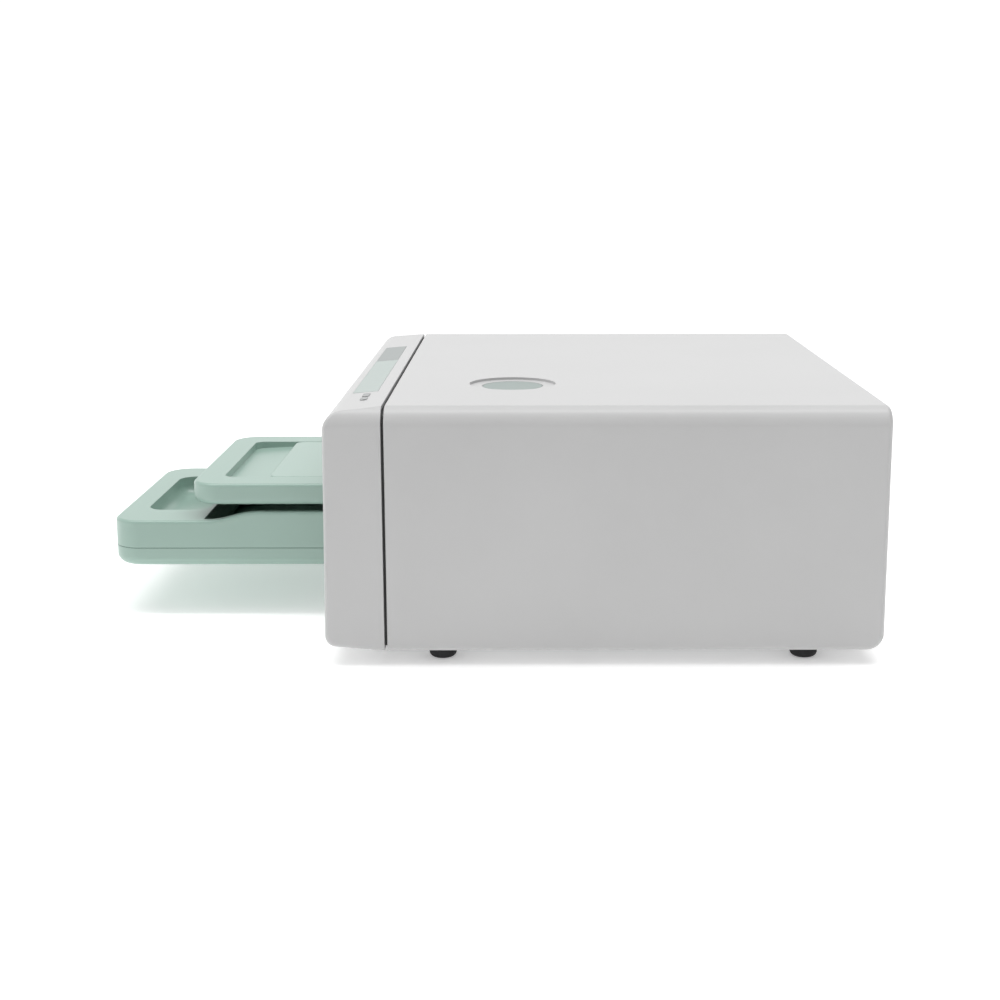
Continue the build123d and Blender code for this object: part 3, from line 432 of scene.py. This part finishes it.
# ---- chassis ----------------------------------------------------------------------------------------
# Pan, side frames, lift posts and the shelf for the electronics are folded from zinc-plated steel
# sheet and screwed together. The guide rods are ground bar.
zinc = finish("plated_sheet", (0.52, 0.53, 0.54), 0.34, 160, 0.00002, 0.09, metal=1.0)
for name in ("base_pan", "bed_frame", "lift_posts", "electronics_shelf"):
    paint(name, zinc)
ground_bar = finish("ground_bar", (0.62, 0.62, 0.62), 0.16, 900, 0.00001, metal=1.0,
                    stretch=(1, 1, 0.05))
paint("guide_rods", ground_bar)
paint("chassis_screws", steel)

# ---- slides -----------------------------------------------------------------------------------------
# The drawer rides in black acetal runners. The platen's acetal shoes slide in grooves along two drawn
# aluminium rails.
acetal_black = finish("acetal_black", (0.018, 0.018, 0.019), 0.38, 700, 0.00002)
paint("drawer_runners", acetal_black)
paint("platen_shoes", acetal_black)
paint("platen_rails", finish("drawn_rail", (0.66, 0.67, 0.68), 0.3, 700, 0.00003, metal=1.0,
                             stretch=(1, 0.02, 1)))

# ---- bed drive --------------------------------------------------------------------------------------
# A stepping motor turns a pulley in the right bay, and a toothed belt round it and an idler draws
# the platen in and out. The belt is black rubber with teeth on its inner face.


def toothed_loop(build, at, width, outer, along, up):
    """A closed belt round two pulleys: at holds both centres, outer is the belt's outside radius."""
    thick, web, tooth_pitch, steps = 0.001, 0.00055, 0.002, 4
    first, last = at
    sideways = along.cross(up)
    run = (last - first).length
    length = 2 * run + 2 * math.pi * outer
    count = steps * int(length / tooth_pitch)
    rings = []
    for k in range(count):
        s = length * k / count
        if s < run:
            spot, out = first + along * s, up
        elif s < run + math.pi * outer:
            turn = (s - run) / outer
            out = up * math.cos(turn) + along * math.sin(turn)
            spot = last
        elif s < 2 * run + math.pi * outer:
            spot, out = last - along * (s - run - math.pi * outer), -up
        else:
            turn = (s - 2 * run - math.pi * outer) / outer
            out = -up * math.cos(turn) - along * math.sin(turn)
            spot = first
        inner = outer - (thick if k % steps in (1, 2) else web)
        ring = []
        for radius, side in ((outer, -0.5), (outer, 0.5), (inner, 0.5), (inner, -0.5)):
            ring.append(build.verts.new(spot + out * radius + sideways * side * width))
        rings.append(ring)
    for k, ring in enumerate(rings):
        after = rings[(k + 1) % len(rings)]
        for side in range(4):
            build.faces.new((ring[side], ring[(side + 1) % 4], after[(side + 1) % 4], after[side]))


def belt_for(node, body, axis):
    """A toothed belt in place of a CAD belt loop that runs along axis, 0 for X or 1 for Y."""
    low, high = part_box(node)
    outer = (high.z - low.z) / 2
    middle = (low + high) / 2
    ends = (middle.copy(), middle.copy())
    ends[0][axis] = low[axis] + outer
    ends[1][axis] = high[axis] - outer
    along, up = (ends[1] - ends[0]).normalized(), Vector((0, 0, 1))
    width = (high - low)[1 - axis]
    belt = add_piece(node + "_toothed", lambda build: toothed_loop(build, ends, width, outer, along, up),
                     body, belt_black)
    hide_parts(node)


belt_black = finish("belt_black", (0.015, 0.015, 0.015), 0.55, 400, 0.00003)
belt_for("y_belt", "casing", 1)
pulley_metal = finish("pulley_metal", (0.60, 0.61, 0.62), 0.28, 900, 0.00002, metal=1.0)
paint("y_drive_pulley", pulley_metal)
paint("y_idler_pulley", pulley_metal)


def motor_finish(name, axis, node):
    """Stepping motor finish: black end caps with a bare stack of laminations between them."""
    low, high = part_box(node)
    black, bare, cap = (0.02, 0.02, 0.022), (0.42, 0.42, 0.43), 0.28
    stops = [(0.0, black, 0.0), (cap, bare, 1.0), (1 - cap, black, 0.0)]
    return finish(name, black, 0.36, 500, 0.00003, bands=("XYZ"[axis], low[axis], high[axis], stops))


paint("y_motor", motor_finish("bed_motor_shell", 0, "y_motor"))

# ---- gantry -----------------------------------------------------------------------------------------
# The beam is a drawn aluminium section between two machined end plates that slide on the guide rods.
# It carries the ground rail, the print carriage's belt, its motor and pulleys.
paint("gantry_beam", finish("drawn_beam", (0.64, 0.65, 0.66), 0.32, 700, 0.00004, metal=1.0,
                            stretch=(0.02, 1, 1)))
milled = finish("milled_plate", (0.60, 0.61, 0.62), 0.26, 260, 0.00003, metal=1.0)
paint("gantry_ends", milled)
paint("x_rail", finish("rail_steel", (0.60, 0.60, 0.61), 0.18, 900, 0.00001, metal=1.0,
                       stretch=(0.03, 1, 1)))
belt_for("x_belt", "gantry", 0)
paint("x_drive_pulley", pulley_metal)
paint("x_idler_pulley", pulley_metal)
paint("x_motor", motor_finish("carriage_motor_shell", 1, "x_motor"))

# ---- lift screws ------------------------------------------------------------------------------------
# Two rolled steel screws with a 2 mm lead stand on their motors in the side bays and raise the gantry
# together. The thread is cut off flat at both ends.


def threaded(build, centre, low, high, radius):
    """A screw from low to high: its radius rises and falls once along each lead."""
    lead, depth, sides, per_turn, flank, root_width = 0.002, 0.0006, 20, 5, 5, 0.75
    rows = int((high - low) / lead * per_turn)
    step = (high - low) / rows
    rings = []
    for row in range(rows + 1):
        z = low + row * step
        ring = []
        for side in range(sides):
            turn = side / sides
            wave = ((z - low) / lead - turn) % 1.0
            crest = min(1.0, max(0.0, abs(wave - 0.5) * flank - root_width))
            reach = radius - depth * (1 - crest)
            angle = 2 * math.pi * turn
            ring.append(build.verts.new((centre.x + reach * math.cos(angle),
                                         centre.y + reach * math.sin(angle), z)))
        rings.append(ring)
    for ring, after in zip(rings, rings[1:]):
        for side in range(sides):
            near = (side + 1) % sides
            build.faces.new((ring[side], ring[near], after[near], after[side]))
    build.faces.new(rings[0])
    build.faces.new(rings[-1])


rolled = finish("rolled_steel", (0.50, 0.50, 0.51), 0.26, 900, 0.00001, metal=1.0)
for side in ("left", "right"):
    low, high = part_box("z_screw_" + side)
    middle, radius = (low + high) / 2, (high.x - low.x) / 2 - 0.00002
    screw = add_piece("lift_screw_" + side + "_thread",
                      lambda build: threaded(build, middle, low.z, high.z, radius),
                      "lift_screw_" + side, rolled)
    for face in screw.data.polygons:
        face.use_smooth = len(face.vertices) == 4
    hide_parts("z_screw_" + side)
paint("z_motors", motor_finish("lift_motor_shell", 2, "z_motors"))

# ---- print carriage ---------------------------------------------------------------------------------
# A grey moulded cover on a folded steel frame holds the print head, its ink dampers and the curing
# lamp. The recirculating slider runs on the gantry's rail. Short hoses feed the dampers from above.
carriage_grey = finish("carriage_grey", (0.30, 0.305, 0.31), 0.42)
paint("carriage_cover", carriage_grey)
paint("carriage_frame", zinc)
paint("rail_slider", milled)
head_metal = finish("head_metal", (0.55, 0.54, 0.52), 0.3, 500, 0.00002, metal=1.0)
paint("print_head", head_metal)
paint("ink_dampers", acetal_black)


def slab(build, x, y, z):
    """Adds a box to a bmesh, from the low and high of each side."""
    middle = [(side[0] + side[1]) / 2 for side in (x, y, z)]
    size = [side[1] - side[0] for side in (x, y, z)]
    bmesh.ops.create_cube(build, size=1, matrix=Matrix.Translation(middle) @ Matrix.Diagonal((*size, 1)))


def rod(build, radius, start, end, sides=24, tip=None):
    """Adds a round bar between two points to a bmesh; tip is the far end's radius."""
    start, end = Vector(start), Vector(end)
    turn = (end - start).to_track_quat("Z", "Y").to_matrix().to_4x4()
    bmesh.ops.create_cone(build, cap_ends=True, segments=sides, radius1=radius, radius2=tip or radius,
                          depth=(end - start).length,
                          matrix=Matrix.Translation((start + end) / 2) @ turn)


head_low, head_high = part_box("print_head")


def nozzle_face(build):
    """A thin plate under the head with a raised strip for each row of nozzles."""
    z, row_pitch, row_half = head_low.z, 0.008, 0.0006
    slab(build, (head_low.x + 0.004, head_high.x - 0.004), (head_low.y + 0.003, head_high.y - 0.003),
         (z - 0.00012, z + 0.0002))
    for k in range(1, 7):
        x = head_low.x + k * row_pitch
        slab(build, (x - row_half, x + row_half), (head_low.y + 0.006, head_high.y - 0.006),
             (z - 0.0002, z))


add_piece("nozzle_plate", nozzle_face, "carriage",
          finish("nozzle_gold", (0.62, 0.50, 0.26), 0.22, 900, 0.00001, metal=1.0))

paint("uv_lamp", finish("lamp_black", (0.03, 0.03, 0.032), 0.34, 700, 0.00003, metal=0.6))
lamp_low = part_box("lamp_lens")[0]
diode_pitch = 0.004
paint("lamp_lens", ruled("lamp_glass_lit", (0.10, 0.06, 0.20), 0.08, "Y", first=lamp_low.y + diode_pitch,
                         spacing=diode_pitch, count=9, width=0.0016, dark=3.2))


def hose(name, points, radius, body, material):
    """A soft round hose or wire through a row of points."""
    path = bpy.data.curves.new(name, "CURVE")
    path.dimensions = "3D"
    path.bevel_depth = radius
    path.bevel_resolution = 3
    path.resolution_u = 10
    path.use_fill_caps = True
    line = path.splines.new("NURBS")
    line.points.add(len(points) - 1)
    for spot, point in zip(line.points, points):
        spot.co = (*point, 1)
    line.use_endpoint_u = True
    line.order_u = 3
    path.materials.append(material)
    piece = bpy.data.objects.new(name, path)
    bpy.context.scene.collection.objects.link(piece)
    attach(piece, body)


INKS = (
    ("cyan", (0.0, 0.26, 0.48)),
    ("magenta", (0.50, 0.01, 0.16)),
    ("yellow", (0.72, 0.56, 0.01)),
    ("black", (0.01, 0.01, 0.012)),
    ("white", (0.78, 0.78, 0.76)),
    ("varnish", (0.62, 0.52, 0.30)),
)
tubes = {ink: finish("tube_" + ink, colour, 0.25, 500, 0.00001, coat=0.3) for ink, colour in INKS}
damper_low, damper_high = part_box("ink_dampers")
damper_pitch, top = 0.0082, damper_high.z
for k, (ink, _) in enumerate(INKS):
    x, y = damper_low.x + 0.0035 + k * damper_pitch, damper_high.y - 0.004
    route = [(x, y, top - 0.001), (x, y, top + 0.0025), (x, y + 0.0015, top + 0.0038),
             (x, y + 0.007, top + 0.0038)]
    hose("damper_hose_" + ink, route, 0.0012, "carriage", tubes[ink])

# ---- cleaning station -------------------------------------------------------------------------------
# A black moulded station under the parked carriage lifts a grey sled whose rubber seal caps the head,
# and beside it a rubber wiper cleans the nozzles. A hose takes waste ink to the box behind.
paint("cleaning_station", acetal_black)
paint("cap_sled", acetal_grey)
paint("cap_seal", rubber_black)
wiper_low, wiper_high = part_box("wiper")
stops = [(0.0, (0.20, 0.20, 0.21), 0.0), (0.66, (0.02, 0.02, 0.02), 0.0)]
paint("wiper", finish("wiper_rubber", (0.03, 0.03, 0.03), 0.5, 400, 0.00003,
                      bands=("Z", wiper_low.z, wiper_high.z, stops)))
station_low, station_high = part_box("cleaning_station")
box_low, box_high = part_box("waste_box")
pump_x, inlet_x = station_low.x + 0.013, box_low.x + 0.02
route = [(pump_x, station_high.y - 0.002, 0.024), (pump_x, 0.066, 0.024), (pump_x + 0.005, 0.086, 0.030),
         (inlet_x, 0.094, 0.040), (inlet_x, box_low.y + 0.001, 0.040)]
hose("waste_hose", route, 0.0022, "casing", tubes["black"])

# ---- waste box --------------------------------------------------------------------------------------
# A natural polypropylene box, open on top, holds a pad of absorbent felt. The hose from the cleaning
# station lets the waste ink drip on it.
paint("waste_box", finish("natural_plastic", (0.58, 0.58, 0.55), 0.4, 300, 0.00004))


def felt(build):
    """A pad with a softly uneven top that fills the box."""
    count, room, top, foot, swell = 14, 0.004, 0.0515, 0.0496, 0.0006
    x_run, y_run = box_high.x - box_low.x - 2 * room, box_high.y - box_low.y - 2 * room
    rows = []
    for i in range(count + 1):
        row = []
        for j in range(count + 1):
            rise = swell * math.sin(i * 1.9 + 0.7) * math.cos(j * 2.3)
            row.append(build.verts.new((box_low.x + room + x_run * i / count,
                                        box_low.y + room + y_run * j / count, top + rise)))
        rows.append(row)
    for i in range(count):
        for j in range(count):
            build.faces.new((rows[i][j], rows[i + 1][j], rows[i + 1][j + 1], rows[i][j + 1]))
    grown = bmesh.ops.extrude_face_region(build, geom=build.faces[:])
    for vert in grown["geom"]:
        if isinstance(vert, bmesh.types.BMVert):
            vert.co.z = foot


add_piece("waste_felt", felt, "casing",
          finish("felt", (0.66, 0.65, 0.62), 0.95, 700, 0.0003, 0.12))

# ---- ink --------------------------------------------------------------------------------------------
# Six tanks stand in the left bay behind the flap, moulded together in cloudy polyethylene. Each holds
# one ink and has a screw cap in that ink's colour. Soft tubes lead from them to a valve block.
tank_low, tank_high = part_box("ink_tanks")
tank_gap = 0.001
row_start, row_end = tank_low.y - tank_gap / 2, tank_high.y + tank_gap / 2
tank_pitch = (row_end - row_start) / len(INKS)
stops = [(k / len(INKS), [c * 0.35 + 0.38 for c in colour], 0.0) for k, (_, colour) in enumerate(INKS)]
paint("ink_tanks", finish("cloudy_tank", (0.7, 0.7, 0.7), 0.35, 300, 0.00003, coat=0.2,
                          bands=("Y", row_start, row_end, stops)))
stops = [(k / len(INKS), colour, 0.0) for k, (_, colour) in enumerate(INKS)]
paint("ink_caps", finish("ink_caps_finish", (0.5, 0.5, 0.5), 0.3, 400, 0.00003,
                         bands=("Y", row_start, row_end, stops)))
valve_x, valve_y, valve_z = (-0.141, -0.126), (0.128, 0.206), (0.100, 0.116)
valve_places = [valve_y[0] + 0.009 + k * 0.012 for k in range(len(INKS))]
stub_z = (valve_z[0] + valve_z[1]) / 2


def valve_block(build):
    """A block with a barbed stub for each tube and a coil on top of each valve."""
    slab(build, valve_x, valve_y, valve_z)
    coil_x = (valve_x[0] + valve_x[1]) / 2
    for y in valve_places:
        rod(build, 0.0016, (valve_x[0] - 0.004, y, stub_z), (valve_x[0] + 0.001, y, stub_z), 16)
        rod(build, 0.0042, (coil_x, y, valve_z[1] - 0.001), (coil_x, y, valve_z[1] + 0.006), 20, 0.0038)


add_piece("valve_block", valve_block, "casing", acetal_grey, 0.0005)
tap_x, tap_y = -0.160, 0.012
for k, (ink, _) in enumerate(INKS):
    y, far = tank_low.y + k * tank_pitch + tap_y, valve_places[k]
    route = [(tap_x, y, 0.0925), (tap_x, y, 0.104), (tap_x + 0.002, y * 0.6 + far * 0.4, 0.113),
             (-0.151, far, 0.109), (valve_x[0] - 0.0015, far, stub_z)]
    hose("ink_tube_" + ink, route, 0.0020, "casing", tubes[ink])

# ---- main board -------------------------------------------------------------------------------------
# The main board stands on spacers on the shelf, with its sockets at the rear wall. White headers,
# capacitors and a finned cooler are soldered to it.
main_low, shelf_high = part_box("main_board")[0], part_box("electronics_shelf")[1]
spacer, board_thick = 0.006, 0.0016
board_top = shelf_high.z + spacer + board_thick
paint("main_board", circuit("main_board_green", shelf_high.z + spacer, board_thick))


def headers(build):
    """Six white cable headers along the right edge of the board, each with a plug in it."""
    low_x, high_x, margin = 0.100, 0.106, 0.0015
    for k in range(6):
        y = main_low.y + 0.012 + k * 0.014
        slab(build, (low_x, high_x), (y, y + 0.010), (board_top, board_top + 0.006))
        slab(build, (low_x + margin, high_x - margin), (y + 0.001, y + 0.009),
             (board_top + 0.0058, board_top + 0.0072))


add_piece("board_headers", headers, "casing",
          finish("header_white", (0.62, 0.61, 0.56), 0.45, 500, 0.00002), 0.0003)


def capacitors(build):
    """Five upright cans, each with a rolled neck and a domed top."""
    sizes = {"large": (0.005, 0.014), "middle": (0.004, 0.012), "small": (0.0032, 0.009)}
    for size, x, y in (("middle", 0.086, 0.184), ("middle", 0.086, 0.196), ("small", 0.086, 0.208),
                       ("large", -0.040, 0.184), ("small", -0.044, 0.262)):
        radius, tall = sizes[size]
        top = board_top + tall
        rod(build, radius, (x, y, board_top), (x, y, board_top + 0.002))
        rod(build, radius * 0.93, (x, y, board_top + 0.0019), (x, y, board_top + 0.0028))
        rod(build, radius, (x, y, board_top + 0.0027), (x, y, top))
        rod(build, radius * 0.8, (x, y, top), (x, y, top + 0.0006), tip=radius * 0.6)


stops = [(0.0, (0.05, 0.06, 0.12), 0.0), (0.985, (0.6, 0.6, 0.6), 1.0)]
add_piece("board_capacitors", capacitors, "casing",
          finish("can_sleeve", (0.05, 0.055, 0.10), 0.3, 400, 0.00002,
                 bands=("Z", board_top, board_top + 0.0135, stops)), 0.0003)


def cooler(build):
    """A finned aluminium cooler: a base plate with nine fins."""
    x, y, side, inset, fin_pitch, fin_thick = 0.020, 0.210, 0.026, 0.0005, 0.0030, 0.0010
    slab(build, (x, x + side), (y, y + side), (board_top, board_top + 0.002))
    for k in range(9):
        fin_x = x + inset + k * fin_pitch
        slab(build, (fin_x, fin_x + fin_thick), (y + inset, y + side - inset),
             (board_top + 0.0019, board_top + 0.010))


add_piece("board_cooler", cooler, "casing",
          finish("cooler_aluminium", (0.60, 0.61, 0.63), 0.35, 500, 0.00002, metal=1.0), 0.0002)

# ---- power ------------------------------------------------------------------------------------------
# The supply sits in a slotted steel case in the right bay. The inlet and the rocker switch are black
# mouldings snapped into the rear wall, and the inlet's three contacts are brass.
paint("power_supply", zinc)
paint("power_inlet", acetal_black)
paint("switch_rocker", finish("rocker_black", (0.02, 0.02, 0.021), 0.25, 500, 0.00002, coat=0.3))
inlet_low, inlet_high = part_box("power_inlet")
socket_x, socket_z = inlet_high.x - 0.014, (inlet_low.z + inlet_high.z) / 2
contact_pitch = 0.007


def contacts(build):
    """Three flat blades with rounded ends, standing in the socket."""
    half_thick, half_wide = 0.00108, 0.00208
    for dx, dz in ((-contact_pitch, -0.002), (0, 0.0025), (contact_pitch, -0.002)):
        x, z = socket_x + dx, socket_z + dz
        slab(build, (x - half_thick, x + half_thick), (inlet_high.y - 0.013, inlet_high.y - 0.0027),
             (z - half_wide, z + half_wide))


add_piece("inlet_contacts", contacts, "casing",
          finish("brass", (0.70, 0.52, 0.22), 0.25, 600, 0.00001, metal=1.0), 0.0004)
for word, colour, dx in (("brown", (0.10, 0.03, 0.01), -contact_pitch),
                         ("blue", (0.01, 0.05, 0.30), contact_pitch), ("green", (0.05, 0.30, 0.04), 0.0)):
    x, z = socket_x + dx, socket_z
    route = [(x, inlet_low.y + 0.001, z), (x, 0.2705, z), (x, 0.2690, z - 0.001), (x, 0.2655, z - 0.001)]
    hose("mains_wire_" + word, route, 0.0013, "casing",
         finish("wire_" + word, colour, 0.4, 400, 0.00001))

# ---- wiring -----------------------------------------------------------------------------------------
# Red and black pairs of stranded wire join the supply, the bed motor and the fan to the main board.
# They hang in easy bends between their ends.
wire_red = finish("wire_red", (0.40, 0.01, 0.01), 0.4, 400, 0.00001)
wire_black = finish("wire_black", (0.015, 0.015, 0.015), 0.4, 400, 0.00001)
supply_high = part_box("power_supply")[1]
pair_gap, header_x, shelf_edge_x, header_top = 0.0024, 0.103, 0.1285, board_top + 0.007
for k, insulation in enumerate((wire_red, wire_black)):
    off = k * pair_gap
    route = [(0.145, 0.250 - off, supply_high.z - 0.001), (0.145, 0.250 - off, 0.064),
             (0.129, 0.252 - off, 0.074), (shelf_edge_x, 0.252 - off, 0.128), (0.120, 0.252 - off, 0.149),
             (header_x, 0.2465 - off, 0.149), (header_x, 0.2465 - off, header_top)]
    hose(f"supply_wire_{k}", route, 0.0010, "casing", insulation)
    route = [(0.145, 0.222 - off, 0.0970), (0.145, 0.222 - off, 0.106), (0.129, 0.224 - off, 0.112),
             (shelf_edge_x, 0.224 - off, 0.128), (0.120, 0.226 - off, 0.148),
             (header_x, 0.2185 - off, 0.148), (header_x, 0.2185 - off, header_top)]
    hose(f"motor_wire_{k}", route, 0.0010, "casing", insulation)
    route = [(-0.141, 0.2745 + off * 0.4, 0.117 + off), (-0.141, 0.268, 0.117 + off),
             (-0.124, 0.262 - off, 0.139), (-0.080, 0.258 - off, 0.146), (-0.049, 0.242 - off, 0.146),
             (-0.044, 0.240 - off, board_top - 0.0005)]
    hose(f"fan_wire_{k}", route, 0.0008, "casing", insulation)

# ---- fan --------------------------------------------------------------------------------------------
# A 60 mm fan behind the rear slots draws warm air out. Frame and rotor are black glass-filled
# plastic, and the hub has a blank foil label.
fan_black = finish("fan_black", (0.02, 0.02, 0.021), 0.42, 500, 0.00004)
paint("fan_frame", fan_black)
paint("fan_rotor", fan_black)
fan_low, fan_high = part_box("fan_rotor")
hub, face_y = (fan_low + fan_high) / 2, fan_low.y


def hub_label(build):
    """A thin foil disc with a low boss in its middle, on the inner side of the hub."""
    rod(build, 0.0100, (hub.x, face_y - 0.0003, hub.z), (hub.x, face_y + 0.0002, hub.z), 40)
    rod(build, 0.0040, (hub.x, face_y - 0.0005, hub.z), (hub.x, face_y + 0.0001, hub.z), 30, 0.0044)


add_piece("fan_label", hub_label, "fan",
          finish("foil", (0.55, 0.56, 0.57), 0.3, 300, 0.00001, metal=1.0), 0.0001)
